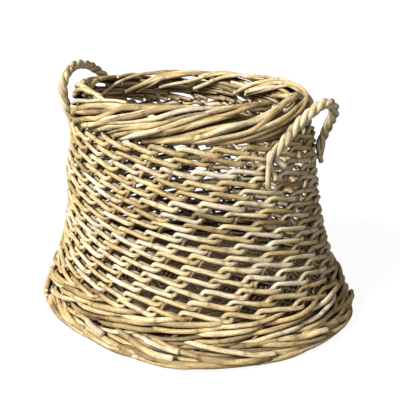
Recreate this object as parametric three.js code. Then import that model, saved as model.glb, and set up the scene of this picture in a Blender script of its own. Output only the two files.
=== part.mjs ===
// A wicker log basket: an oval, bell-shaped open weave on twenty-five leaning stakes, with a
// rolled border at the mouth, a wale and a heavy border at the foot, a woven base and two
// twisted rope handles at the ends of the oval.  Millimetres, +Z up, the handles on the X axis,
// the origin at the middle of the underside.

import * as THREE from 'three';

const TURN = 2 * Math.PI;

// The wall's middle surface: mean radius of the oval at a few heights, and how oval it is.
const RIM_HEIGHT = 362;
const WALL_HEIGHTS = [0, 36, 65, 109, 163, 217, 311, 340, 372];
const WALL_RADII = [241, 232, 223, 208, 195, 187, 174, 168, 163];
const FOOT_ASPECT = 1.22;
const RIM_ASPECT = 1.3;

// The open weave: pairs of rods twined round the stakes.
const STAKE_COUNT = 25;
const ROW_COUNT = 16;
const FIRST_ROW_HEIGHT = 68;
const ROW_PITCH = 15.6;
const LEAN_PER_ROW = THREE.MathUtils.degToRad(3.83);
const PAIR_DEPTH = 12.4;
const PAIR_RISE = 5.7;
const STEPS_PER_TWIST = 3;
const WEAVER_RADIUS = 3.8;

// The stakes, which end at the top in the rods of the rolled border.
const STAKE_RADIUS = 3.2;
const STAKE_OFFSET = PAIR_DEPTH / 4;
const STAKE_FOOT_HEIGHT = 19;
const STAKE_STEPS = 20;
const BORDER_START_HEIGHT = 318;
const BORDER_SPAN = THREE.MathUtils.degToRad(86);

// The foot: four wale hoops outside the stakes, and the border that the basket stands on.
const WALE_HEIGHTS = [24, 34, 44, 54];
const WALE_RADIUS = 4.4;
const WALE_OFFSET = STAKE_OFFSET + STAKE_RADIUS + WALE_RADIUS + 1.2;
const FOOT_BORDER_WIDTH = 26;
const FOOT_BORDER_HEIGHT = 15;
const FOOT_BORDER_CHAMFER = 4;
const RING_STEPS = 40;

// The base: a woven mat held between long sticks above it and short sticks below it.
const BASE_BOTTOM = 16;
const BASE_THICKNESS = 6;
const STICK_RADIUS = 3.5;
const LONG_STICK_COUNT = 3;
const SHORT_STICK_COUNT = 3;
const STICK_SPACING = 44;
const LONG_STICK_REACH = 0.9;
const SHORT_STICK_REACH = 0.8;
const TOUCH_GAP = 0.4;
const MAT_EDGE_GAP = 2;

// The handles: three rods twisted into a rope.
const ROPE_STRANDS = 3;
const ROPE_STRAND_RADIUS = 3.9;
const ROPE_LAY_RADIUS = 4.9;
const ROPE_TWISTS = 4;
const ROPE_STEPS = 40;

const STRAW = { color: 0xd2b57c, roughness: 0.62, metalness: 0 };
const PALE_STRAW = { color: 0xdcc79a, roughness: 0.6, metalness: 0 };
const BROWN_STRAW = { color: 0xa98a58, roughness: 0.7, metalness: 0 };

const basket = new THREE.Group();

function addPiece(name, geometry, finish) {
  const piece = new THREE.Mesh(geometry, new THREE.MeshStandardMaterial(finish));
  piece.name = name;
  basket.add(piece);
  return piece;
}

// ---- the oval wall ----

const wallProfile = new THREE.CubicInterpolant(WALL_HEIGHTS, WALL_RADII, 1);

function wallRadius(height) {
  return wallProfile.evaluate(height)[0];
}

function ovalAspect(height) {
  return THREE.MathUtils.lerp(FOOT_ASPECT, RIM_ASPECT, height / RIM_HEIGHT);
}

// A point on the wall.  The small term in the angle keeps even steps even along the oval.
function wallPoint(turnAngle, height, offset) {
  const stretch = Math.sqrt(ovalAspect(height));
  const angle = turnAngle + 0.5 * (stretch - 1) * Math.sin(2 * turnAngle);
  const radius = wallRadius(height);
  return new THREE.Vector3(
    (radius * stretch + offset) * Math.cos(angle),
    (radius / stretch + offset) * Math.sin(angle),
    height,
  );
}

function circle(radius, sides) {
  const points = [];
  for (let side = 0; side < sides; side += 1) {
    const angle = (TURN * (side + 0.5)) / sides;
    points.push(new THREE.Vector2(radius * Math.cos(angle), radius * Math.sin(angle)));
  }
  return points;
}

function rodAlong(path, radius, steps, sides = 4) {
  const section = new THREE.Shape(circle(radius, sides));
  return new THREE.ExtrudeGeometry(section, { steps, bevelEnabled: false, extrudePath: path });
}

// A curve walked by its own parameter rather than by its length.
class EvenCurve extends THREE.Curve {
  constructor(pointAt) {
    super();
    this.pointAt = pointAt;
  }

  getPoint(t) {
    return this.pointAt(t);
  }

  getPointAt(t) {
    return this.pointAt(t);
  }

  getSpacedPoints(divisions) {
    return this.getPoints(divisions);
  }

  getTangentAt(t) {
    return this.getTangent(t);
  }
}

// ---- the twined rows ----

function leanAt(height) {
  return (LEAN_PER_ROW * (height - FIRST_ROW_HEIGHT)) / ROW_PITCH;
}

// One rod goes round twice.  With an odd number of stakes its second round passes inside the
// stakes that its first round passed outside, so the two rounds twine into a pair.
function twinedPair(height) {
  const path = new EvenCurve((t) => {
    const twist = TURN * STAKE_COUNT * t;
    const along = 2 * TURN * t + leanAt(height);
    return wallPoint(along, height - PAIR_RISE * Math.sin(twist), PAIR_DEPTH * Math.cos(twist));
  });
  return new THREE.TubeGeometry(path, STAKE_COUNT * STEPS_PER_TWIST, WEAVER_RADIUS, 4, true);
}

function addRows() {
  for (let row = 0; row < ROW_COUNT; row += 1) {
    const name = `weaver_row_${String(row + 1).padStart(2, '0')}`;
    addPiece(name, twinedPair(FIRST_ROW_HEIGHT + row * ROW_PITCH), STRAW);
  }
}

// ---- the stakes and the rolled border that their tops make ----

// The border's section, walked from under the band, up its outside, over the crest and inside.
const borderSection = new THREE.CatmullRomCurve3([
  new THREE.Vector3(STAKE_OFFSET, BORDER_START_HEIGHT + 4),
  new THREE.Vector3(4.5, BORDER_START_HEIGHT + 13),
  new THREE.Vector3(6, BORDER_START_HEIGHT + 22.5),
  new THREE.Vector3(4.5, BORDER_START_HEIGHT + 32),
  new THREE.Vector3(-1, BORDER_START_HEIGHT + 40),
  new THREE.Vector3(-10, BORDER_START_HEIGHT + 36),
  new THREE.Vector3(-12, BORDER_START_HEIGHT + 26),
]);

// The first half of a stake climbs the wall, and the second half is its rod of the border.
function stakePoint(stake, t) {
  const start = (TURN * stake) / STAKE_COUNT;
  if (t < 0.5) {
    const height = THREE.MathUtils.lerp(STAKE_FOOT_HEIGHT, BORDER_START_HEIGHT, 2 * t);
    return wallPoint(start + leanAt(height), height, STAKE_OFFSET);
  }
  const along = 2 * t - 1;
  const place = borderSection.getPoint(along);
  return wallPoint(start + leanAt(BORDER_START_HEIGHT) + BORDER_SPAN * along, place.y, place.x);
}

function addStakes() {
  for (let stake = 0; stake < STAKE_COUNT; stake += 1) {
    const path = new EvenCurve((t) => stakePoint(stake, t));
    const name = `stake_${String(stake + 1).padStart(2, '0')}`;
    addPiece(name, rodAlong(path, STAKE_RADIUS, STAKE_STEPS), BROWN_STRAW);
  }
}

// ---- the foot ----

// A ring turned about Z, then stretched into the oval of that height.
function ovalRing(section, height) {
  const closedSection = [...section, section[0]];
  const ring = new THREE.LatheGeometry(closedSection, RING_STEPS);
  ring.rotateX(Math.PI / 2);
  const stretch = Math.sqrt(ovalAspect(height));
  return ring.scale(stretch, 1 / stretch, 1);
}

function addFoot() {
  WALE_HEIGHTS.forEach((height, index) => {
    const centre = new THREE.Vector2(wallRadius(height) + WALE_OFFSET, height);
    const section = circle(WALE_RADIUS, 4).map((point) => point.add(centre));
    addPiece(`foot_wale_${index + 1}`, ovalRing(section, height), STRAW);
  });
  const inner = wallRadius(0) - FOOT_BORDER_WIDTH / 2 + WEAVER_RADIUS;
  const outer = inner + FOOT_BORDER_WIDTH;
  const section = [
    new THREE.Vector2(inner, 0),
    new THREE.Vector2(outer - FOOT_BORDER_CHAMFER, 0),
    new THREE.Vector2(outer, FOOT_BORDER_HEIGHT / 2),
    new THREE.Vector2(outer - FOOT_BORDER_CHAMFER, FOOT_BORDER_HEIGHT),
    new THREE.Vector2(inner, FOOT_BORDER_HEIGHT),
  ];
  addPiece('foot_border', ovalRing(section, 0), STRAW);
}

// ---- the base ----

function addStick(name, halfLength, across, height, alongX) {
  const start = alongX
    ? new THREE.Vector3(-halfLength, across, height)
    : new THREE.Vector3(across, -halfLength, height);
  const end = alongX
    ? new THREE.Vector3(halfLength, across, height)
    : new THREE.Vector3(across, halfLength, height);
  addPiece(name, rodAlong(new THREE.LineCurve3(start, end), STICK_RADIUS, 1, 6), BROWN_STRAW);
}

function addBase() {
  const stretch = Math.sqrt(FOOT_ASPECT);
  const radius = wallRadius(BASE_BOTTOM + BASE_THICKNESS) - STAKE_RADIUS - MAT_EDGE_GAP;
  const outline = new THREE.Shape();
  outline.absellipse(0, 0, radius * stretch, radius / stretch, 0, TURN, false);
  const mat = new THREE.ExtrudeGeometry(outline, {
    depth: BASE_THICKNESS,
    bevelEnabled: false,
    curveSegments: RING_STEPS,
  });
  mat.translate(0, 0, BASE_BOTTOM);
  addPiece('base_mat', mat, STRAW);

  const above = BASE_BOTTOM + BASE_THICKNESS + TOUCH_GAP + STICK_RADIUS;
  const below = BASE_BOTTOM - TOUCH_GAP - STICK_RADIUS;
  for (let index = 0; index < LONG_STICK_COUNT; index += 1) {
    const across = STICK_SPACING * (index - (LONG_STICK_COUNT - 1) / 2);
    addStick(`base_stick_long_${index + 1}`, radius * stretch * LONG_STICK_REACH, across, above, true);
  }
  for (let index = 0; index < SHORT_STICK_COUNT; index += 1) {
    const across = 2 * STICK_SPACING * (index - (SHORT_STICK_COUNT - 1) / 2);
    addStick(`base_stick_short_${index + 1}`, (radius / stretch) * SHORT_STICK_REACH, across, below, false);
  }
}

// ---- the handles ----

// The middle line of a handle's rope, from its front foot to its back foot, on the +X side.
const leaningLoop = [
  new THREE.Vector3(203, -80, 286),
  new THREE.Vector3(211, -62, 312),
  new THREE.Vector3(219, -34, 338),
  new THREE.Vector3(231, -2, 356),
  new THREE.Vector3(242, 24, 350),
  new THREE.Vector3(229, 48, 316),
  new THREE.Vector3(218, 66, 274),
];
const uprightLoop = [
  new THREE.Vector3(203, -72, 292),
  new THREE.Vector3(207, -72, 328),
  new THREE.Vector3(209, -62, 366),
  new THREE.Vector3(213, -20, 387),
  new THREE.Vector3(218, 34, 370),
  new THREE.Vector3(217, 62, 334),
  new THREE.Vector3(208, 72, 290),
];

function handleStrand(loop, side, strand) {
  const onSide = loop.map((point) => new THREE.Vector3(side * point.x, point.y, point.z));
  const middle = new THREE.CatmullRomCurve3(onSide);
  const frames = middle.computeFrenetFrames(ROPE_STEPS, false);
  const path = new EvenCurve((t) => {
    const step = Math.round(t * ROPE_STEPS);
    const turn = TURN * (ROPE_TWISTS * t + strand / ROPE_STRANDS);
    return middle.getPointAt(step / ROPE_STEPS)
      .addScaledVector(frames.normals[step], ROPE_LAY_RADIUS * Math.cos(turn))
      .addScaledVector(frames.binormals[step], ROPE_LAY_RADIUS * Math.sin(turn));
  });
  return rodAlong(path, ROPE_STRAND_RADIUS, ROPE_STEPS);
}

function addHandle(name, loop, side) {
  for (let strand = 0; strand < ROPE_STRANDS; strand += 1) {
    addPiece(`${name}_strand_${strand + 1}`, handleStrand(loop, side, strand), PALE_STRAW);
  }
}

addRows();
addStakes();
addFoot();
addBase();
addHandle('right_handle', leaningLoop, 1);
addHandle('left_handle', uprightLoop, -1);

export default basket;
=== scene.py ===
"""The looks of the wicker log basket: every rod of the weave as round peeled cane.

The CAD frame gives the oval wall, the rows and the box.  Each CAD node is replaced by one
piece made of swept rods.  Metres, +Z up, as in the frame.
"""

import math

import bmesh
import bpy
import numpy as np
from mathutils import Matrix, Vector


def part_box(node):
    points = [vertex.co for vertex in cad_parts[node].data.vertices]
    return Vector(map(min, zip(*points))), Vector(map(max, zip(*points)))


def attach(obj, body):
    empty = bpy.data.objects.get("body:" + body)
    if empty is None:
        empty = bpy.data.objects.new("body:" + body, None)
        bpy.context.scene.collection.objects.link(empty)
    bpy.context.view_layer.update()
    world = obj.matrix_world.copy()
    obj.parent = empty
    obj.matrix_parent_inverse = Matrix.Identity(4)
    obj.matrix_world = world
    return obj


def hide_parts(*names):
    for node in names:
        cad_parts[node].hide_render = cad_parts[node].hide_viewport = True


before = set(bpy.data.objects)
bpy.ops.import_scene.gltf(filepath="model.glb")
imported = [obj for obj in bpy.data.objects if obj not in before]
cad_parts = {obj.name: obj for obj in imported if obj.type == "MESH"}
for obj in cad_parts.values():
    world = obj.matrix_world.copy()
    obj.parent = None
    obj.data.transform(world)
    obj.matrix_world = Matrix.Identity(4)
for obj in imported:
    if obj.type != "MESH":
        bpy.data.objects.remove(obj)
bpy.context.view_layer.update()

TURN = 2 * math.pi
NODES = sorted(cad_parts)
ROWS = [node for node in NODES if node.startswith("weaver_row_")]
STAKES = [node for node in NODES if node.startswith("stake_")]
WALES = [node for node in NODES if node.startswith("foot_wale_")]

# The camera, at the viewing angle and distance of the studio picture.
CAMERA_AZIMUTH = math.radians(35)
CAMERA_DISTANCE = 1.08
CAMERA_HEIGHT = 0.561
CAMERA_ROLL = -0.029
CAMERA_LENS = 61.3
TARGET_OFFSET = 0.016
TARGET_HEIGHT = 0.170

# How far the middle of the wall lies inside the widest point of each kind of CAD ring.
ROW_INSET = 0.0157
WALE_INSET = 0.0155
BORDER_INSET = 0.0180
MOUTH_NARROWING = 0.945

# Rod sizes.
WEAVER_RADIUS = 0.0036
STAKE_RADIUS = 0.0028
RIM_ROD_RADIUS = 0.0040
WALE_RADIUS = 0.0042
BORDER_RADIUS = 0.0050
BASE_ROD_RADIUS = 0.0040
BASE_SPOKE_RADIUS = 0.0032
ROD_SIDES = 10
ROD_STEP = 0.0030
BASE_ROD_STEP = 0.0055

# How a rod varies: over this length its width and tint drift by these shares, it is a little
# flat, it swells where a cane joint rings it, and its fibres start somewhere in this range.
DRIFT_LENGTH = 0.05
WIDTH_DRIFT = 0.05
TINT_DRIFT = 0.22
FLATNESS = 0.06
KNOT_SWELLING = 0.09
KNOT_SPACING = 0.11
KNOT_LENGTH = 0.0028
GRAIN_SHIFT = 50

# The bevel of a cut end, as shares of the rod's radius.
BEVEL_RISE = 0.15
BEVEL_WIDTH = 0.86

# The twined rows.
STAKE_COUNT = len(STAKES)
LEAN_PER_ROW = math.radians(3.83)
PAIR_DEPTH = 0.0045
PAIR_RISE = 0.0054
STAKE_PLACE = 0.22
PLACE_STEP = 0.02
CROSSING_SHIFT = 0.012
CROSSING_LIFT = 0.0008
ROW_RIPPLE = 0.0012
STEEPNESS_SPREAD = 0.12
WEAVER_WANDER = 0.0004

# Where a new rod is laid in: the first place, the overlap in stake spacings, how deep its end is
# tucked inside, the shortest and longest rod in pairs of stakes, and how many stakes before the
# end of the row no more rods are laid in.
FIRST_SPLICE = 1.5
SPLICE_LAP = 0.35
SPLICE_TUCK = 0.007
SHORTEST_ROD = 6
LONGEST_ROD = 9
LAST_SPLICE_GAP = 12

# Random shares of a radius, and tints from dark (0) to pale (1), for each kind of rod.
WEAVER_SPREAD = (0.90, 1.12)
WEAVER_TINTS = (0.35, 1.0)
STAKE_SPREAD = (0.9, 1.1)
# The stakes' tints are dark: their own tone plus painted shade for where they stand behind the weavers.
SHADED_STAKE_TINTS = (0.0, 0.22)
RIM_ROD_SPREAD = (0.80, 1.14)
LONG_ROD_TINTS = (0.3, 0.95)
SHORT_ROD_TINTS = (0.2, 0.8)
LINING_TINTS = (0.1, 0.7)
WALE_SPREAD = (0.85, 1.12)
WALE_TINTS = (0.16, 0.7)
BORDER_SPREAD = (0.76, 1.0)
BORDER_TINT_RANGE = 0.5
BASE_TINTS = (0, 0.9)
SPOKE_TINTS = (0, 0.6)
STICK_TINTS = (0.2, 0.9)
ROPE_TINTS = (0.55, 1)


# ---- the oval wall, from the boxes of the CAD rings ----

def ring_level(node, inset):
    low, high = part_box(node)
    return (low[2] + high[2]) / 2, (high[0] - low[0]) / 2 - inset, (high[1] - low[1]) / 2 - inset


def wall_levels():
    levels = [ring_level("foot_border", BORDER_INSET)]
    levels += [ring_level(node, WALE_INSET) for node in WALES]
    levels += [ring_level(node, ROW_INSET) for node in ROWS]
    top_row = levels[-1]
    mouth_height = max(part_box(node)[1][2] for node in STAKES)
    levels.append((mouth_height, top_row[1] * MOUTH_NARROWING, top_row[2] * MOUTH_NARROWING))
    return np.array(levels)


LEVELS = wall_levels()
MEAN_RADII = LEVELS[:, 1:].mean(1)
TILTS = np.arctan(-np.gradient(MEAN_RADII, LEVELS[:, 0]))
FIRST_ROW_HEIGHT = ring_level(ROWS[0], ROW_INSET)[0]
ROW_PITCH = (ring_level(ROWS[-1], ROW_INSET)[0] - FIRST_ROW_HEIGHT) / (len(ROWS) - 1)


# Where the handles pull the wall out of its oval: the turn, the height and how far.
SHOULDERS = (
    (math.radians(32), 0.285, 0.0050),
    (math.radians(212), 0.235, 0.0045),
)
SHOULDER_TURN = math.radians(26)
SHOULDER_HEIGHT = 0.045


def turn_apart(turn, middle):
    """How far round one turn is from another, the short way."""
    return np.mod(turn - middle + math.pi, TURN) - math.pi


def shoulder(turn, height):
    """How far the handles pull the wall outward there."""
    reach = np.zeros_like(turn)
    for middle_turn, middle_height, amount in SHOULDERS:
        across = turn_apart(turn, middle_turn) / SHOULDER_TURN
        upward = (height - middle_height) / SHOULDER_HEIGHT
        reach += amount * np.exp(-(across**2) - upward**2)
    return reach


def wall(turn, height, out):
    """Points near the wall: an angle that is even along the oval, a height, a distance off the wall."""
    turn, height, out = np.broadcast_arrays(*(np.asarray(value, float) for value in (turn, height, out)))
    long_axis = np.interp(height, LEVELS[:, 0], LEVELS[:, 1])
    short_axis = np.interp(height, LEVELS[:, 0], LEVELS[:, 2])
    tilt = np.interp(height, LEVELS[:, 0], TILTS)
    level = out * np.cos(tilt) + shoulder(turn, height)
    stretch = np.sqrt(long_axis / short_axis)
    angle = turn + 0.5 * (stretch - 1) * np.sin(2 * turn)
    across = (long_axis + level) * np.cos(angle)
    depth = (short_axis + level) * np.sin(angle)
    return np.stack([across, depth, height + out * np.sin(tilt)], -1)


# ---- small helpers ----

def smooth_step(value):
    value = np.clip(value, 0, 1)
    return value * value * (3 - 2 * value)


def wander(count, knots, amount, rng):
    """A slow random line of that many samples."""
    places = np.linspace(0, 1, max(int(knots), 2) + 1)
    values = rng.normal(0, amount, len(places))
    fine = np.interp(np.linspace(0, 1, count), places, values)
    width = max(count // (2 * len(places)), 1)
    kernel = np.hanning(2 * width + 1)
    padded = np.pad(fine, width, mode="edge")
    return np.convolve(padded, kernel / kernel.sum(), mode="valid")


def ripple(turn, waves, amount, rng):
    """A slow random line that closes on itself round the basket."""
    total = np.zeros_like(turn)
    for wave in range(1, waves + 1):
        total += rng.normal(0, amount / math.sqrt(waves)) * np.sin(wave * turn + rng.uniform(0, TURN))
    return total


def even_points(points, step):
    """The same path walked in equal steps."""
    lengths = np.linalg.norm(np.diff(points, axis=0), axis=1)
    along = np.concatenate([[0], np.cumsum(lengths)])
    count = max(int(along[-1] / step), 3)
    places = np.linspace(0, along[-1], count + 1)
    return np.stack([np.interp(places, along, points[:, axis]) for axis in range(3)], -1)


def soften(points, reach):
    """Rounds the corners of a path over that many samples, ends kept."""
    kernel = np.hanning(2 * reach + 3)[1:-1]
    kernel /= kernel.sum()
    start = 2 * points[0] - points[reach:0:-1]
    end = 2 * points[-1] - points[-2:-reach - 2:-1]
    padded = np.concatenate([start, points, end])
    return np.stack([np.convolve(padded[:, axis], kernel, mode="valid") for axis in range(3)], -1)


def spline(points, count):
    """A Catmull-Rom curve through given points."""
    points = np.asarray(points, float)
    padded = np.concatenate([[2 * points[0] - points[1]], points, [2 * points[-1] - points[-2]]])
    places = np.linspace(0, len(points) - 1, count)
    index = np.minimum(places.astype(int), len(points) - 2)
    t = (places - index)[:, None]
    before, start, end, after = (padded[index + shift] for shift in range(4))
    return 0.5 * (
        2 * start
        + (end - before) * t
        + (2 * before - 5 * start + 4 * end - after) * t**2
        + (3 * start - before - 3 * end + after) * t**3
    )


# ---- rods and pieces ----

class Piece:
    """Rods gathered into one mesh, with the attributes that the cane material reads."""

    def __init__(self):
        self.points = []
        self.faces = []
        self.grain = []
        self.shade = []
        self.count = 0

    def add_rod(self, path, radius, tint, rng, knot_spacing=KNOT_SPACING, taper=0.0, step=ROD_STEP):
        path = even_points(path, step)
        count = len(path)
        tangent = np.gradient(path, axis=0)
        tangent /= np.linalg.norm(tangent, axis=1)[:, None]
        side = self.carried_sides(tangent)
        lift = np.cross(tangent, side)
        along = np.arange(count) * step
        knots = self.knots(along, knot_spacing, rng)
        drifts = along[-1] / DRIFT_LENGTH
        widths = radius * (1 + wander(count, drifts, WIDTH_DRIFT, rng) + KNOT_SWELLING * knots)
        widths *= 1 - taper * np.linspace(0, 1, count)
        flat = 1 + rng.uniform(-FLATNESS, FLATNESS)
        around = TURN * np.arange(ROD_SIDES) / ROD_SIDES
        cosine, sine = np.cos(around), np.sin(around)
        ring = (
            cosine[None, :, None] * side[:, None, :] * flat
            + sine[None, :, None] * lift[:, None, :] / flat
        )
        surface = path[:, None, :] + widths[:, None, None] * ring
        start = rng.uniform(0, GRAIN_SHIFT)
        grain = np.stack([
            np.repeat((along + start)[:, None], ROD_SIDES, 1),
            np.repeat(radius * cosine[None, :], count, 0),
            np.repeat(radius * sine[None, :], count, 0),
        ], -1)
        tints = np.clip(tint + wander(count, drifts, TINT_DRIFT, rng), 0, 1)
        shade = np.stack([tints, knots, np.zeros(count), np.ones(count)], -1)
        shade = np.repeat(shade[:, None, :], ROD_SIDES, 1)
        self.add_tube(surface, grain, shade, path, tangent, widths)

    @staticmethod
    def carried_sides(tangent):
        """A side direction carried along the rod without twisting."""
        first = np.cross(tangent[0], [0, 0, 1.0])
        if np.linalg.norm(first) < 0.1:
            first = np.cross(tangent[0], [1.0, 0, 0])
        sides = np.empty_like(tangent)
        current = first
        for index, direction in enumerate(tangent):
            current = current - direction * np.dot(current, direction)
            current = current / np.linalg.norm(current)
            sides[index] = current
        return sides

    @staticmethod
    def knots(along, spacing, rng):
        """One where a cane joint rings the rod, fading to nothing a few millimetres away."""
        knots = np.zeros_like(along)
        place = rng.uniform(0, spacing)
        while place < along[-1]:
            knots += np.exp(-(((along - place) / KNOT_LENGTH) ** 2))
            place += spacing * rng.uniform(0.6, 1.4)
        return np.clip(knots, 0, 1)

    def add_tube(self, surface, grain, shade, path, tangent, widths):
        count = len(path)
        ring = np.arange(count * ROD_SIDES).reshape(count, ROD_SIDES) + self.count
        ahead = np.roll(ring, -1, axis=1)
        quads = np.stack([ring[:-1], ahead[:-1], ahead[1:], ring[1:]], -1).reshape(-1, 4)
        self.faces += quads.tolist()
        self.points.append(surface.reshape(-1, 3))
        self.grain.append(grain.reshape(-1, 3))
        self.shade.append(shade.reshape(-1, 4))
        self.count += count * ROD_SIDES
        self.add_cut_end(surface[0], grain[0], shade[0], path[0], -tangent[0], widths[0], True)
        self.add_cut_end(surface[-1], grain[-1], shade[-1], path[-1], tangent[-1], widths[-1], False)

    def add_cut_end(self, rim, grain, shade, middle, outward, width, flipped):
        """A cut end: a narrow bevel and a flat face, with its own colour."""
        cut = shade.copy()
        cut[:, 2] = 1
        face_middle = middle + outward * width * BEVEL_RISE
        bevel = face_middle + (rim - middle) * BEVEL_WIDTH
        first = self.count
        self.points += [rim, bevel, face_middle[None]]
        self.grain += [grain, grain, grain.mean(0)[None]]
        self.shade += [shade, cut, cut[:1]]
        self.count += 2 * ROD_SIDES + 1
        rim_ids = first + np.arange(ROD_SIDES)
        bevel_ids = rim_ids + ROD_SIDES
        centre = first + 2 * ROD_SIDES
        for index in range(ROD_SIDES):
            following = (index + 1) % ROD_SIDES
            band = [rim_ids[index], rim_ids[following], bevel_ids[following], bevel_ids[index]]
            cap = [bevel_ids[index], bevel_ids[following], centre]
            if flipped:
                band.reverse()
                cap.reverse()
            self.faces += [[int(vertex) for vertex in face] for face in (band, cap)]

    def build(self, name, material, slot, *nodes):
        mesh = bpy.data.meshes.new(name)
        mesh.from_pydata(np.concatenate(self.points).tolist(), [], self.faces)
        grain = mesh.attributes.new("grain", "FLOAT_VECTOR", "POINT")
        grain.data.foreach_set("vector", np.concatenate(self.grain).astype(np.float32).ravel())
        shade = mesh.attributes.new("shade", "FLOAT_COLOR", "POINT")
        shade.data.foreach_set("color", np.concatenate(self.shade).astype(np.float32).ravel())
        mesh.shade_smooth()
        mesh.materials.append(material)
        piece = bpy.data.objects.new(name, mesh)
        bpy.context.scene.collection.objects.link(piece)
        self.weld(mesh)
        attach(piece, "root")
        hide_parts(*nodes)
        return piece

    @staticmethod
    def weld(mesh):
        """Joins each cut end to its rod, so that every rod is one closed mesh."""
        work = bmesh.new()
        work.from_mesh(mesh)
        bmesh.ops.remove_doubles(work, verts=work.verts, dist=1e-7)
        work.to_mesh(mesh)
        work.free()


# ---- materials ----

def add_node(tree, kind, **values):
    node = tree.nodes.new(kind)
    for key, value in values.items():
        if key in node.inputs:
            node.inputs[key].default_value = value
        else:
            setattr(node, key, value)
    return node


def colour_ramp(tree, factor, stops):
    ramp = add_node(tree, "ShaderNodeValToRGB")
    elements = ramp.color_ramp.elements
    while len(elements) < len(stops):
        elements.new(0.5)
    for element, (place, colour) in zip(elements, stops):
        element.position = place
        element.color = (*colour, 1)
    tree.links.new(factor, ramp.inputs["Fac"])
    return ramp.outputs["Color"]


def mix_colour(tree, factor, first, second, blend="MIX"):
    mix = add_node(tree, "ShaderNodeMix", data_type="RGBA", blend_type=blend)
    for socket, value in ((mix.inputs[0], factor), (mix.inputs[6], first), (mix.inputs[7], second)):
        if isinstance(value, (int, float)):
            socket.default_value = value
        elif isinstance(value, tuple):
            socket.default_value = (*value, 1)
        else:
            tree.links.new(value, socket)
    return mix.outputs[2]


def fibre_noise(tree, grain, length_scale, width_scale, detail):
    """Noise drawn out along the rod: few changes along it, many round it."""
    stretch = add_node(tree, "ShaderNodeVectorMath", operation="MULTIPLY")
    stretch.inputs[1].default_value = (length_scale, width_scale, width_scale)
    tree.links.new(grain, stretch.inputs[0])
    noise = add_node(tree, "ShaderNodeTexNoise", Scale=1.0, Detail=detail, Roughness=0.6)
    tree.links.new(stretch.outputs["Vector"], noise.inputs["Vector"])
    return noise.outputs["Fac"]


# Painted shade: the cane's colour is darkened where other rods lie this close, and inside a space of
# this size, where shade falls.
PAINTED_SHADE_REACH = 0.02
INSIDE_SHADE_REACH = 0.40


def cane_material(name, tones, roughness):
    """Peeled cane: long fibres, slow colour changes, dark pores, rings at the joints, pale cut ends."""
    material = bpy.data.materials.new(name)
    material.use_nodes = True
    tree = material.node_tree
    shader = tree.nodes["Principled BSDF"]
    grain = add_node(tree, "ShaderNodeAttribute", attribute_name="grain").outputs["Vector"]
    shade = add_node(tree, "ShaderNodeAttribute", attribute_name="shade")
    parts = add_node(tree, "ShaderNodeSeparateColor")
    tree.links.new(shade.outputs["Color"], parts.inputs["Color"])
    tint, knot, cut = (parts.outputs[channel] for channel in ("Red", "Green", "Blue"))

    base = colour_ramp(tree, tint, tones)
    patches = fibre_noise(tree, grain, 30, 80, 3)
    streaks = fibre_noise(tree, grain, 60, 900, 4)
    mottles = fibre_noise(tree, grain, 240, 420, 2)
    fine = fibre_noise(tree, grain, 220, 2600, 3)
    patch_tone = colour_ramp(tree, patches, [(0.32, (0.66, 0.61, 0.53)), (0.60, (1.1, 1.1, 1.1))])
    coloured = mix_colour(tree, 0.85, base, patch_tone, "MULTIPLY")
    streak_tone = colour_ramp(tree, streaks, [(0.36, (0.50, 0.43, 0.34)), (0.54, (1.06, 1.06, 1.06))])
    coloured = mix_colour(tree, 0.75, coloured, streak_tone, "MULTIPLY")
    mottle_tone = colour_ramp(tree, mottles, [(0.36, (0.66, 0.58, 0.47)), (0.56, (1.05, 1.05, 1.05))])
    coloured = mix_colour(tree, 0.6, coloured, mottle_tone, "MULTIPLY")
    knot_tone = mix_colour(tree, knot, (1.0, 1.0, 1.0), (0.45, 0.34, 0.22))
    coloured = mix_colour(tree, 0.8, coloured, knot_tone, "MULTIPLY")
    pores = colour_ramp(tree, fine, [(0.35, (0.5, 0.4, 0.27)), (0.6, (0.86, 0.76, 0.55))])
    coloured = mix_colour(tree, cut, coloured, pores)
    # Painted shade: occlusion darkens the colour in the gaps between rods and inside the basket.
    for reach, open_share in ((PAINTED_SHADE_REACH, 0.64), (INSIDE_SHADE_REACH, 0.40)):
        hollow = add_node(tree, "ShaderNodeAmbientOcclusion", Distance=reach)
        painted_shade_stops = [(0.0, (0.10, 0.07, 0.04)), (open_share, (1.0, 1.0, 1.0))]
        painted_shade = colour_ramp(tree, hollow.outputs["AO"], painted_shade_stops)
        coloured = mix_colour(tree, 1.0, coloured, painted_shade, "MULTIPLY")
    tree.links.new(coloured, shader.inputs["Base Color"])

    rough = add_node(tree, "ShaderNodeMapRange")
    rough.inputs["To Min"].default_value = roughness - 0.1
    rough.inputs["To Max"].default_value = roughness + 0.16
    tree.links.new(streaks, rough.inputs["Value"])
    tree.links.new(rough.outputs["Result"], shader.inputs["Roughness"])
    height = add_node(tree, "ShaderNodeMath", operation="ADD")
    tree.links.new(streaks, height.inputs[0])
    tree.links.new(fine, height.inputs[1])
    bump = add_node(tree, "ShaderNodeBump", Strength=0.35, Distance=0.0006)
    tree.links.new(height.outputs["Value"], bump.inputs["Height"])
    tree.links.new(bump.outputs["Normal"], shader.inputs["Normal"])
    shader.inputs["Specular IOR Level"].default_value = 0.35
    return material


CANE_TONES = [
    (0.0, (0.22, 0.155, 0.075)),
    (0.2, (0.36, 0.27, 0.13)),
    (0.45, (0.56, 0.42, 0.195)),
    (0.72, (0.66, 0.56, 0.34)),
    (1.0, (0.64, 0.565, 0.43)),
]
BASE_TONES = [
    (0.0, (0.20, 0.13, 0.06)),
    (1.0, (0.52, 0.40, 0.22)),
]
HANDLE_TONES = [
    (0.0, (0.38, 0.30, 0.16)),
    (0.5, (0.57, 0.48, 0.29)),
    (1.0, (0.67, 0.60, 0.43)),
]

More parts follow.
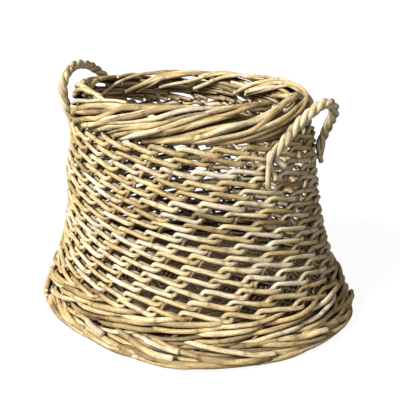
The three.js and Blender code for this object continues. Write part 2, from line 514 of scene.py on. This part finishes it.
WEAVE_CANE = cane_material("weave_cane", CANE_TONES, 0.50)
STAKE_CANE = cane_material("stake_cane", CANE_TONES, 0.55)
FOOT_CANE = cane_material("foot_cane", CANE_TONES, 0.52)
BASE_CANE = cane_material("base_cane", BASE_TONES, 0.65)
HANDLE_CANE = cane_material("handle_cane", HANDLE_TONES, 0.5)


# ---- the twined rows ----

# One rod of a pair over two stake spacings: place, rise, and how far out it is.  It slopes down
# outside one stake, tucks in, runs low behind its partner, then hooks up and out again.
ROD_RUN = np.array([
    (0.00, 1.05, 0.95),
    (0.08, 0.95, 1.05),
    (0.96, -0.95, 1.00),
    (1.05, -0.90, 0.45),
    (1.13, -0.20, -0.60),
    (1.30, 0.30, -1.00),
    (1.72, -0.50, -0.95),
    (1.83, -0.45, -0.45),
    (1.91, 0.45, 0.40),
    (1.95, 0.95, 0.70),
    (2.00, 1.05, 0.95),
])


def row_turn(place, row):
    return TURN * (place - STAKE_PLACE) / STAKE_COUNT + LEAN_PER_ROW * row


def crossing_values(place, amount, rng):
    """A random value for each crossing of a row, blended between crossings."""
    values = rng.normal(0, amount, STAKE_COUNT)
    values = np.append(values, values[0])
    return np.interp(np.mod(place, STAKE_COUNT), np.arange(STAKE_COUNT + 1), values)


def splice_places(rng):
    """Where a rod runs out inside the basket and the next one is laid in."""
    places = [FIRST_SPLICE]
    while places[-1] < 2 * STAKE_COUNT - LAST_SPLICE_GAP:
        places.append(places[-1] + 2 * int(rng.integers(SHORTEST_ROD, LONGEST_ROD + 1)))
    places.append(FIRST_SPLICE + 2 * STAKE_COUNT)
    return places


def make_row(row, node):
    rng = np.random.default_rng(100 + row)
    piece = Piece()
    height = ring_level(node, ROW_INSET)[0]
    places = splice_places(rng)
    sway_seed = int(rng.integers(1 << 30))
    for start, end in zip(places[:-1], places[1:]):
        place = np.arange(start - SPLICE_LAP, end + SPLICE_LAP, PLACE_STEP)
        sway = np.random.default_rng(sway_seed)
        turn = row_turn(place, row) + crossing_values(place, CROSSING_SHIFT, sway)
        lift = ripple(turn, 6, ROW_RIPPLE, sway) + crossing_values(place, CROSSING_LIFT, sway)
        steepness = 1 + crossing_values(place, STEEPNESS_SPREAD, sway)
        phase = np.mod(place, 2)
        rise = np.interp(phase, ROD_RUN[:, 0], ROD_RUN[:, 1])
        outward = np.interp(phase, ROD_RUN[:, 0], ROD_RUN[:, 2])
        tuck = 1 - smooth_step((place - start + SPLICE_LAP) / (2 * SPLICE_LAP))
        out = PAIR_DEPTH * outward - SPLICE_TUCK * tuck + wander(len(place), 40, WEAVER_WANDER, rng)
        heights = height + PAIR_RISE * steepness * rise + lift
        heights += wander(len(place), 60, WEAVER_WANDER, rng)
        path = soften(wall(turn, heights, out), 2)
        radius = WEAVER_RADIUS * rng.uniform(*WEAVER_SPREAD)
        piece.add_rod(path, radius, rng.uniform(*WEAVER_TINTS), rng)
    return piece.build(node.replace("row", "pair"), WEAVE_CANE, "weave", node)


# ---- the stakes and the rolled border ----

# Where the border starts, how far round its long and short rods go, how far up the section a
# short one gets, and where the whole border rises out of level.
BORDER_START = 0.318
LONG_SPAN = math.radians(118)
SHORT_SPAN = math.radians(90)
SHORT_SHARE = 0.72
RIM_LIFT = 0.011
RIM_LIFT_TURN = math.radians(212)
RIM_LIFT_REACH = math.radians(30)
BORDER_PACE_SPREAD = 0.038
BORDER_WANDER = 0.0021
BORDER_TAPER = 0.1
SPAN_SPREAD = (0.74, 1.2)
BEND_SPREAD = 0.06
SHORT_ROD_WIDTH = 0.95
LINING_SPAN = math.radians(74)
LINING_WIDTH = 0.9
LINING_START_RISE = 0.004
LINING_CLIMB = 0.026
LINING_DEPTH = 0.0035
LINING_SINK = 0.0055
LINING_RISE_WANDER = 0.0016
LINING_DEPTH_WANDER = 0.0012
STAKE_WANDER = 0.0006

# The section of the rolled border that one rod follows: distance off the wall and rise, from
# under the band, up its outside, over the crest and down inside to a cut end.
BORDER_SECTION = np.array([
    (-0.0040, -0.0060),
    (0.0050, 0.0020),
    (0.0090, 0.0110),
    (0.0100, 0.0205),
    (0.0078, 0.0300),
    (0.0020, 0.0400),
    (-0.0060, 0.0430),
    (-0.0125, 0.0375),
    (-0.0155, 0.0265),
    (-0.0170, 0.0150),
])


def lean_at(height):
    """Stakes stand nearly upright between the rows, and slip sideways inside each row."""
    rows = (height - FIRST_ROW_HEIGHT) / ROW_PITCH
    return LEAN_PER_ROW * (rows + 0.6 * np.sin(TURN * rows) / TURN)


def border_rod(start, span, last, rng):
    """One rod of the rolled border, which follows its section up to that share of it."""
    samples = 240
    along = np.linspace(0, 1, samples)
    calm_ends = np.sin(math.pi * along)
    pace = last * np.clip(along + wander(samples, 5, BORDER_PACE_SPREAD, rng) * calm_ends, 0, 1)
    section = spline(np.pad(BORDER_SECTION, ((0, 0), (0, 1))), samples)
    out = np.interp(pace, along, section[:, 0]) + wander(samples, 7, BORDER_WANDER, rng)
    rise = np.interp(pace, along, section[:, 1]) + wander(samples, 7, BORDER_WANDER, rng)
    turn = start + span * rng.uniform(*SPAN_SPREAD) * along
    rise += RIM_LIFT * along * np.exp(-((turn_apart(turn, RIM_LIFT_TURN) / RIM_LIFT_REACH) ** 2))
    return soften(wall(turn, BORDER_START + rise, out), 5)


def lining_rod(start, rng):
    """A long rod that lies inside the border, behind its outer rods."""
    samples = 120
    along = np.linspace(0, 1, samples)
    turn = start + LINING_SPAN * along
    rise = LINING_START_RISE + LINING_CLIMB * along + wander(samples, 4, LINING_RISE_WANDER, rng)
    out = -LINING_DEPTH - LINING_SINK * along + wander(samples, 4, LINING_DEPTH_WANDER, rng)
    return wall(turn, BORDER_START + rise, out)


def make_stake(index, node):
    """A stake, and the rods laid in beside its top that are worked into the border."""
    rng = np.random.default_rng(300 + index)
    piece = Piece()
    start = TURN * index / STAKE_COUNT
    heights = np.linspace(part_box(node)[0][2], BORDER_START + 0.016, 160)
    climb = wall(start + lean_at(heights), heights, wander(len(heights), 12, STAKE_WANDER, rng))
    radius = STAKE_RADIUS * rng.uniform(*STAKE_SPREAD)
    piece.add_rod(climb, radius, rng.uniform(*SHADED_STAKE_TINTS), rng)
    top = start + lean_at(BORDER_START) + rng.normal(0, BEND_SPREAD)
    radius = RIM_ROD_RADIUS * rng.uniform(*RIM_ROD_SPREAD)
    path = border_rod(top, LONG_SPAN, 1.0, rng)
    piece.add_rod(path, radius, rng.uniform(*LONG_ROD_TINTS), rng, taper=BORDER_TAPER)
    path = border_rod(top + 0.5 * TURN / STAKE_COUNT, SHORT_SPAN, SHORT_SHARE, rng)
    piece.add_rod(path, SHORT_ROD_WIDTH * radius, rng.uniform(*SHORT_ROD_TINTS), rng, taper=BORDER_TAPER)
    path = lining_rod(top, rng)
    piece.add_rod(path, LINING_WIDTH * radius, rng.uniform(*LINING_TINTS), rng)
    return piece.build(node + "_rod", STAKE_CANE, "stakes", node)


# ---- the foot ----

# The wale: its rods, how far round and up each one goes, how far inside it starts, how far it
# comes out, and how much each round is shifted from the one below.
WALE_RODS = 19
WALE_SPAN = math.radians(42)
WALE_CLIMB = 0.0085
WALE_START_INSIDE = -0.009
WALE_BULK = 0.0172
WALE_LIFT = 0.003
WALE_SHIFT = 0.3
WALE_TAPER = 0.1
WALE_START_SPREAD = 0.12
WALE_SPAN_SPREAD = (0.9, 1.1)
WALE_DIP = 0.4
WALE_DEPTH_WANDER = 0.0014
WALE_RISE_WANDER = 0.0020


def make_wale(index, node):
    """Rods that each start inside, climb slantwise outside two stakes and dip in again."""
    rng = np.random.default_rng(500 + index)
    piece = Piece()
    height = ring_level(node, WALE_INSET)[0]
    samples = 240
    for rod in range(WALE_RODS):
        shift = rng.uniform(-WALE_START_SPREAD, WALE_START_SPREAD)
        start = TURN * (rod + WALE_SHIFT * index + shift) / WALE_RODS
        span = WALE_SPAN * rng.uniform(*WALE_SPAN_SPREAD)
        along = np.linspace(0, 1, samples)
        outside = smooth_step(np.minimum(along, 1 - along) / WALE_DIP)
        out = WALE_START_INSIDE + WALE_BULK * outside + wander(samples, 4, WALE_DEPTH_WANDER, rng)
        lift = WALE_CLIMB * (2 * along - 1) + wander(samples, 4, WALE_RISE_WANDER, rng)
        path = soften(wall(start + span * along, height + WALE_LIFT + lift, out), 8)
        radius = WALE_RADIUS * rng.uniform(*WALE_SPREAD)
        piece.add_rod(path, radius, rng.uniform(*WALE_TINTS), rng, taper=WALE_TAPER)
    return piece.build(node.replace("foot_wale", "wale_round"), FOOT_CANE, "foot", node)


# Rods of the foot border as turn in degrees, height and distance off the wall.  Stubs come down
# over the band and end in a cut, ground rods lie along the floor, inner and core rods fill the
# band behind them, and a few jut out with a proud cut end.
STUB_RUN = np.array([
    (0, 0.034, -0.008),
    (7, 0.029, 0.003),
    (14, 0.0225, 0.010),
    (22, 0.0165, 0.0130),
    (29, 0.0140, 0.0140),
])
GROUND_RUN = np.array([
    (0, 0.026, -0.006),
    (12, 0.016, 0.006),
    (26, 0.0075, 0.0125),
    (44, 0.0055, 0.008),
    (60, 0.0060, 0.010),
    (72, 0.0100, 0.003),
])
INNER_RUN = np.array([
    (0, 0.014, -0.006),
    (20, 0.0060, -0.001),
    (50, 0.0055, 0.001),
    (70, 0.0120, -0.006),
])
CORE_RUN = np.array([
    (0, 0.026, 0.000),
    (25, 0.019, 0.007),
    (55, 0.0115, 0.008),
    (75, 0.0100, 0.002),
])
JUT_RUN = np.array([
    (0, 0.030, -0.004),
    (9, 0.028, 0.006),
    (17, 0.025, 0.013),
    (23, 0.024, 0.019),
])

# Where the border was pulled out of round: the turn and how far.
BULGE_TURN = math.radians(-63)
BULGE_REACH = math.radians(21)
BULGE = 0.024
BULGE_FADE_HEIGHT = 0.03
BULGE_FADE_START = 1.35
FOOT_RUN_SPREAD = (0.85, 1.15)
FOOT_START_SPREAD = 0.3
FOOT_RISE_WANDER = 0.0013
FOOT_DEPTH_WANDER = 0.0016


def border_run(run, bulge_share, start, rng):
    samples = 160
    points = spline(run, samples)
    turn = start + np.radians(points[:, 0]) * rng.uniform(*FOOT_RUN_SPREAD)
    low = np.clip(BULGE_FADE_START - points[:, 1] / BULGE_FADE_HEIGHT, 0, 1)
    near_bulge = np.exp(-((turn_apart(turn, BULGE_TURN) / BULGE_REACH) ** 2))
    bulge = bulge_share * BULGE * low * near_bulge
    heights = points[:, 1] + wander(samples, 5, FOOT_RISE_WANDER, rng)
    out = points[:, 2] + bulge + wander(samples, 5, FOOT_DEPTH_WANDER, rng)
    return soften(wall(turn, np.maximum(heights, BORDER_RADIUS), out), 5)


def make_foot_border():
    rng = np.random.default_rng(600)
    piece = Piece()
    # Each kind of rod with how many there are, its darkest tint and its share of the bulge.
    kinds = (
        (STUB_RUN, 23, 0.20, 1.0),
        (GROUND_RUN, 15, 0.15, 1.0),
        (INNER_RUN, 13, 0.05, 0.4),
        (CORE_RUN, 19, 0.05, 0.7),
        (JUT_RUN, 9, 0.35, 0.5),
    )
    for run, count, darkest, bulge_share in kinds:
        for rod in range(count):
            start = TURN * (rod + rng.uniform(-FOOT_START_SPREAD, FOOT_START_SPREAD)) / count
            radius = BORDER_RADIUS * rng.uniform(*BORDER_SPREAD)
            tint = rng.uniform(darkest, darkest + BORDER_TINT_RANGE)
            piece.add_rod(border_run(run, bulge_share, start, rng), radius, tint, rng)
    return piece.build("foot_plait", FOOT_CANE, "foot", "foot_border")


# ---- the base ----

# The base, a guess: its rings of paired rods, the share of the oval where they start and how far
# they spread, how far a rod bobs over and under the spokes, the height at which the wall's oval
# is taken, and how far inside the wall the rings and the spokes end.
BASE_RINGS = 27
BASE_HEART = 0.03
BASE_SPREAD = 0.95
BASE_BOB = 0.0032
BASE_LEVEL = 0.02
BASE_EDGE = -0.01
SPOKE_EDGE = -0.008


def oval_ring(scale, height, waves, depth, shift):
    turn = np.linspace(0, TURN * 1.01, 700)
    bob = depth * np.cos(waves * turn / 2 + shift)
    points = wall(turn, BASE_LEVEL, BASE_EDGE)
    points = points * scale
    points[:, 2] = height + bob
    return points


def make_base():
    rng = np.random.default_rng(700)
    piece = Piece()
    low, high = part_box("base_mat")
    middle = (low[2] + high[2]) / 2
    for ring in range(BASE_RINGS):
        scale = BASE_HEART + BASE_SPREAD * ring / (BASE_RINGS - 1)
        for shift in (0, math.pi):
            path = oval_ring(scale, middle, STAKE_COUNT, BASE_BOB, shift)
            piece.add_rod(path, BASE_ROD_RADIUS, rng.uniform(*BASE_TINTS), rng, step=BASE_ROD_STEP)
    for spoke in range(STAKE_COUNT):
        turn = TURN * spoke / STAKE_COUNT
        outer = wall(turn, BASE_LEVEL, SPOKE_EDGE)
        path = np.linspace(outer * 0.02, outer * 0.98, 60)
        path[:, 2] = middle
        piece.add_rod(path, BASE_SPOKE_RADIUS, rng.uniform(*SPOKE_TINTS), rng)
    return piece.build("base_weave", BASE_CANE, "base", "base_mat")


def make_sticks():
    for index, node in enumerate(n for n in NODES if n.startswith("base_stick_")):
        rng = np.random.default_rng(800 + index)
        low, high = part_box(node)
        middle = (np.array(low) + np.array(high)) / 2
        axis = 0 if high[0] - low[0] > high[1] - low[1] else 1
        path = np.repeat(middle[None], 60, 0)
        path[:, axis] = np.linspace(low[axis], high[axis], 60)
        piece = Piece()
        piece.add_rod(path, (high[2] - low[2]) / 2, rng.uniform(*STICK_TINTS), rng)
        piece.build(node.replace("base_stick", "base_rod"), BASE_CANE, "base", node)


# ---- the handles ----

# The rope: how far its strands lie off the middle line in strand radii, how much that narrows
# near the back foot, and how straight a loose end leaves the rope.
ROPE_LAY = 1.12
ROPE_NARROWING = 0.5
NARROWING_START = 0.84
ROPE_KNOT_SPACING = 0.09
LOOSE_GUIDE = 0.3


class Handle:
    """The middle line of a rope from its front foot to its back foot, and its loose strand ends."""

    def __init__(self, name, side, strand_radius, twists, loop, front_ends, back_ends):
        self.name = name
        self.side = side
        self.strand_radius = strand_radius
        self.twists = twists
        self.loop = self.sided(loop)
        self.front_ends = self.sided(front_ends)
        self.back_ends = self.sided(back_ends)

    def sided(self, points):
        return np.array([(self.side * x, y, z) for x, y, z in points])

    def strands(self):
        """The three strands laid round the middle line."""
        middle = even_points(spline(self.loop, 400), 0.002)
        tangent = np.gradient(middle, axis=0)
        tangent /= np.linalg.norm(tangent, axis=1)[:, None]
        normal = Piece.carried_sides(tangent)
        across = np.cross(tangent, normal)
        share = np.linspace(0, 1, len(middle))
        narrowing = smooth_step((share - NARROWING_START) / (1 - NARROWING_START))
        lay = self.strand_radius * (ROPE_LAY - ROPE_NARROWING * narrowing)
        for strand in range(3):
            angle = -TURN * (self.twists * share + strand / 3)
            ring = np.cos(angle)[:, None] * normal + np.sin(angle)[:, None] * across
            yield middle + lay[:, None] * ring

    def build(self, seed):
        rng = np.random.default_rng(seed)
        strands = list(self.strands())
        front_order = np.argsort([strand[0][1] for strand in strands])
        for place, index in enumerate(front_order):
            strand = strands[index]
            front = self.loose_end(strand[3], strand[12], self.front_ends[place])
            back = self.loose_end(strand[-4], strand[-12], self.back_ends[place])
            path = np.concatenate([front[::-1], strand[4:-4], back])
            piece = Piece()
            tint = rng.uniform(*ROPE_TINTS)
            piece.add_rod(soften(path, 6), self.strand_radius, tint, rng, ROPE_KNOT_SPACING)
            node = f"{self.name}_strand_{index + 1}"
            piece.build(node.replace("strand", "rod"), HANDLE_CANE, "handles", node)

    @staticmethod
    def loose_end(start, before, end):
        """A curve that leaves the rope in its own direction and bends to the end point."""
        direction = start - before
        direction = direction / np.linalg.norm(direction)
        length = np.linalg.norm(end - start)
        guide = start + direction * length * LOOSE_GUIDE
        share = np.linspace(0, 1, 30)[:, None]
        return (1 - share) ** 2 * start + 2 * share * (1 - share) * guide + share**2 * end


LEANING_HANDLE = Handle(
    "right_handle", 1, 0.0043, 4.3,
    loop=[
        (0.192, -0.076, 0.292), (0.204, -0.062, 0.310), (0.213, -0.042, 0.330), (0.225, -0.016, 0.348),
        (0.233, 0.004, 0.356), (0.239, 0.020, 0.353), (0.236, 0.035, 0.335), (0.221, 0.048, 0.311),
        (0.208, 0.058, 0.284),
    ],
    front_ends=[(0.193, -0.085, 0.250), (0.201, -0.077, 0.261), (0.207, -0.062, 0.277)],
    back_ends=[(0.204, 0.061, 0.257), (0.206, 0.065, 0.250), (0.202, 0.069, 0.257)],
)
UPRIGHT_HANDLE = Handle(
    "left_handle", -1, 0.0043, 4.6,
    loop=[
        (0.191, -0.064, 0.300), (0.199, -0.070, 0.324), (0.204, -0.070, 0.350), (0.206, -0.060, 0.374),
        (0.210, -0.032, 0.387), (0.214, 0.002, 0.384), (0.218, 0.036, 0.368), (0.216, 0.060, 0.342),
        (0.206, 0.070, 0.300),
    ],
    front_ends=[(0.186, -0.074, 0.286), (0.182, -0.062, 0.288), (0.188, -0.050, 0.292)],
    back_ends=[(0.206, 0.060, 0.262), (0.203, 0.072, 0.252), (0.194, 0.082, 0.264)],
)


# ---- camera, floor and light ----

def add_camera():
    data = bpy.data.cameras.new("camera")
    data.lens = CAMERA_LENS
    camera = bpy.data.objects.new("camera", data)
    bpy.context.scene.collection.objects.link(camera)
    across = np.array([math.cos(CAMERA_AZIMUTH), math.sin(CAMERA_AZIMUTH), 0])
    inward = np.array([-math.sin(CAMERA_AZIMUTH), math.cos(CAMERA_AZIMUTH), 0])
    place = -CAMERA_DISTANCE * inward + [0, 0, CAMERA_HEIGHT]
    target = TARGET_OFFSET * across + [0, 0, TARGET_HEIGHT]
    forward = (target - place) / np.linalg.norm(target - place)
    right = np.cross(forward, [0, 0, 1])
    right /= np.linalg.norm(right)
    up = np.cross(right, forward)
    cosine, sine = math.cos(CAMERA_ROLL), math.sin(CAMERA_ROLL)
    rolled_right = cosine * right + sine * up
    rolled_up = cosine * up - sine * right
    matrix = np.eye(4)
    for column, direction in enumerate((rolled_right, rolled_up, -forward, place)):
        matrix[:3, column] = direction
    camera.matrix_world = Matrix(matrix.tolist())
    bpy.context.scene.camera = camera


# A key light from the left of the camera, a weak fill from its right, and a glowing pale floor.
WORLD_STRENGTH = 0.22
KEY_STRENGTH = 6.4
KEY_SPREAD = 20
FILL_STRENGTH = 0.8
FILL_SPREAD = 60
KEY_SIDE = (-0.38, -0.95, 0.80)
FILL_SIDE = (0.80, -0.60, 0.25)
FLOOR_SIZE = 80
FLOOR_DROP = 0.0005
FLOOR_GREY = 0.12
FLOOR_GLOW = 0.93


def add_floor():
    bpy.ops.mesh.primitive_plane_add(size=FLOOR_SIZE, location=(0, 0, -FLOOR_DROP))
    floor = bpy.context.object
    floor.name = "floor"
    material = bpy.data.materials.new("floor_white")
    material.use_nodes = True
    shader = material.node_tree.nodes["Principled BSDF"]
    shader.inputs["Base Color"].default_value = (FLOOR_GREY, FLOOR_GREY, FLOOR_GREY, 1)
    shader.inputs["Roughness"].default_value = 0.9
    shader.inputs["Emission Color"].default_value = (1, 1, 1, 1)
    shader.inputs["Emission Strength"].default_value = FLOOR_GLOW
    floor.data.materials.append(material)
    floor.visible_diffuse = False
    floor.visible_glossy = False


def add_sun(name, toward, strength, spread):
    """A soft distant light that shines from that direction."""
    data = bpy.data.lights.new(name, "SUN")
    data.energy = strength
    data.angle = math.radians(spread)
    light = bpy.data.objects.new(name, data)
    bpy.context.scene.collection.objects.link(light)
    light.rotation_euler = (-Vector(toward)).to_track_quat("-Z", "Y").to_euler()


def add_lights():
    world = bpy.data.worlds.new("studio")
    world.use_nodes = True
    world.node_tree.nodes["Background"].inputs["Color"].default_value = (1, 1, 1, 1)
    world.node_tree.nodes["Background"].inputs["Strength"].default_value = WORLD_STRENGTH
    bpy.context.scene.world = world
    add_sun("key", KEY_SIDE, KEY_STRENGTH, KEY_SPREAD)
    add_sun("fill", FILL_SIDE, FILL_STRENGTH, FILL_SPREAD)
    bpy.context.scene.view_settings.view_transform = "Standard"


add_camera()
for row_index, row_node in enumerate(ROWS):
    make_row(row_index, row_node)
for stake_index, stake_node in enumerate(STAKES):
    make_stake(stake_index, stake_node)
for wale_index, wale_node in enumerate(WALES):
    make_wale(wale_index, wale_node)
make_foot_border()
make_base()
make_sticks()
LEANING_HANDLE.build(900)
UPRIGHT_HANDLE.build(910)
add_floor()
add_lights()
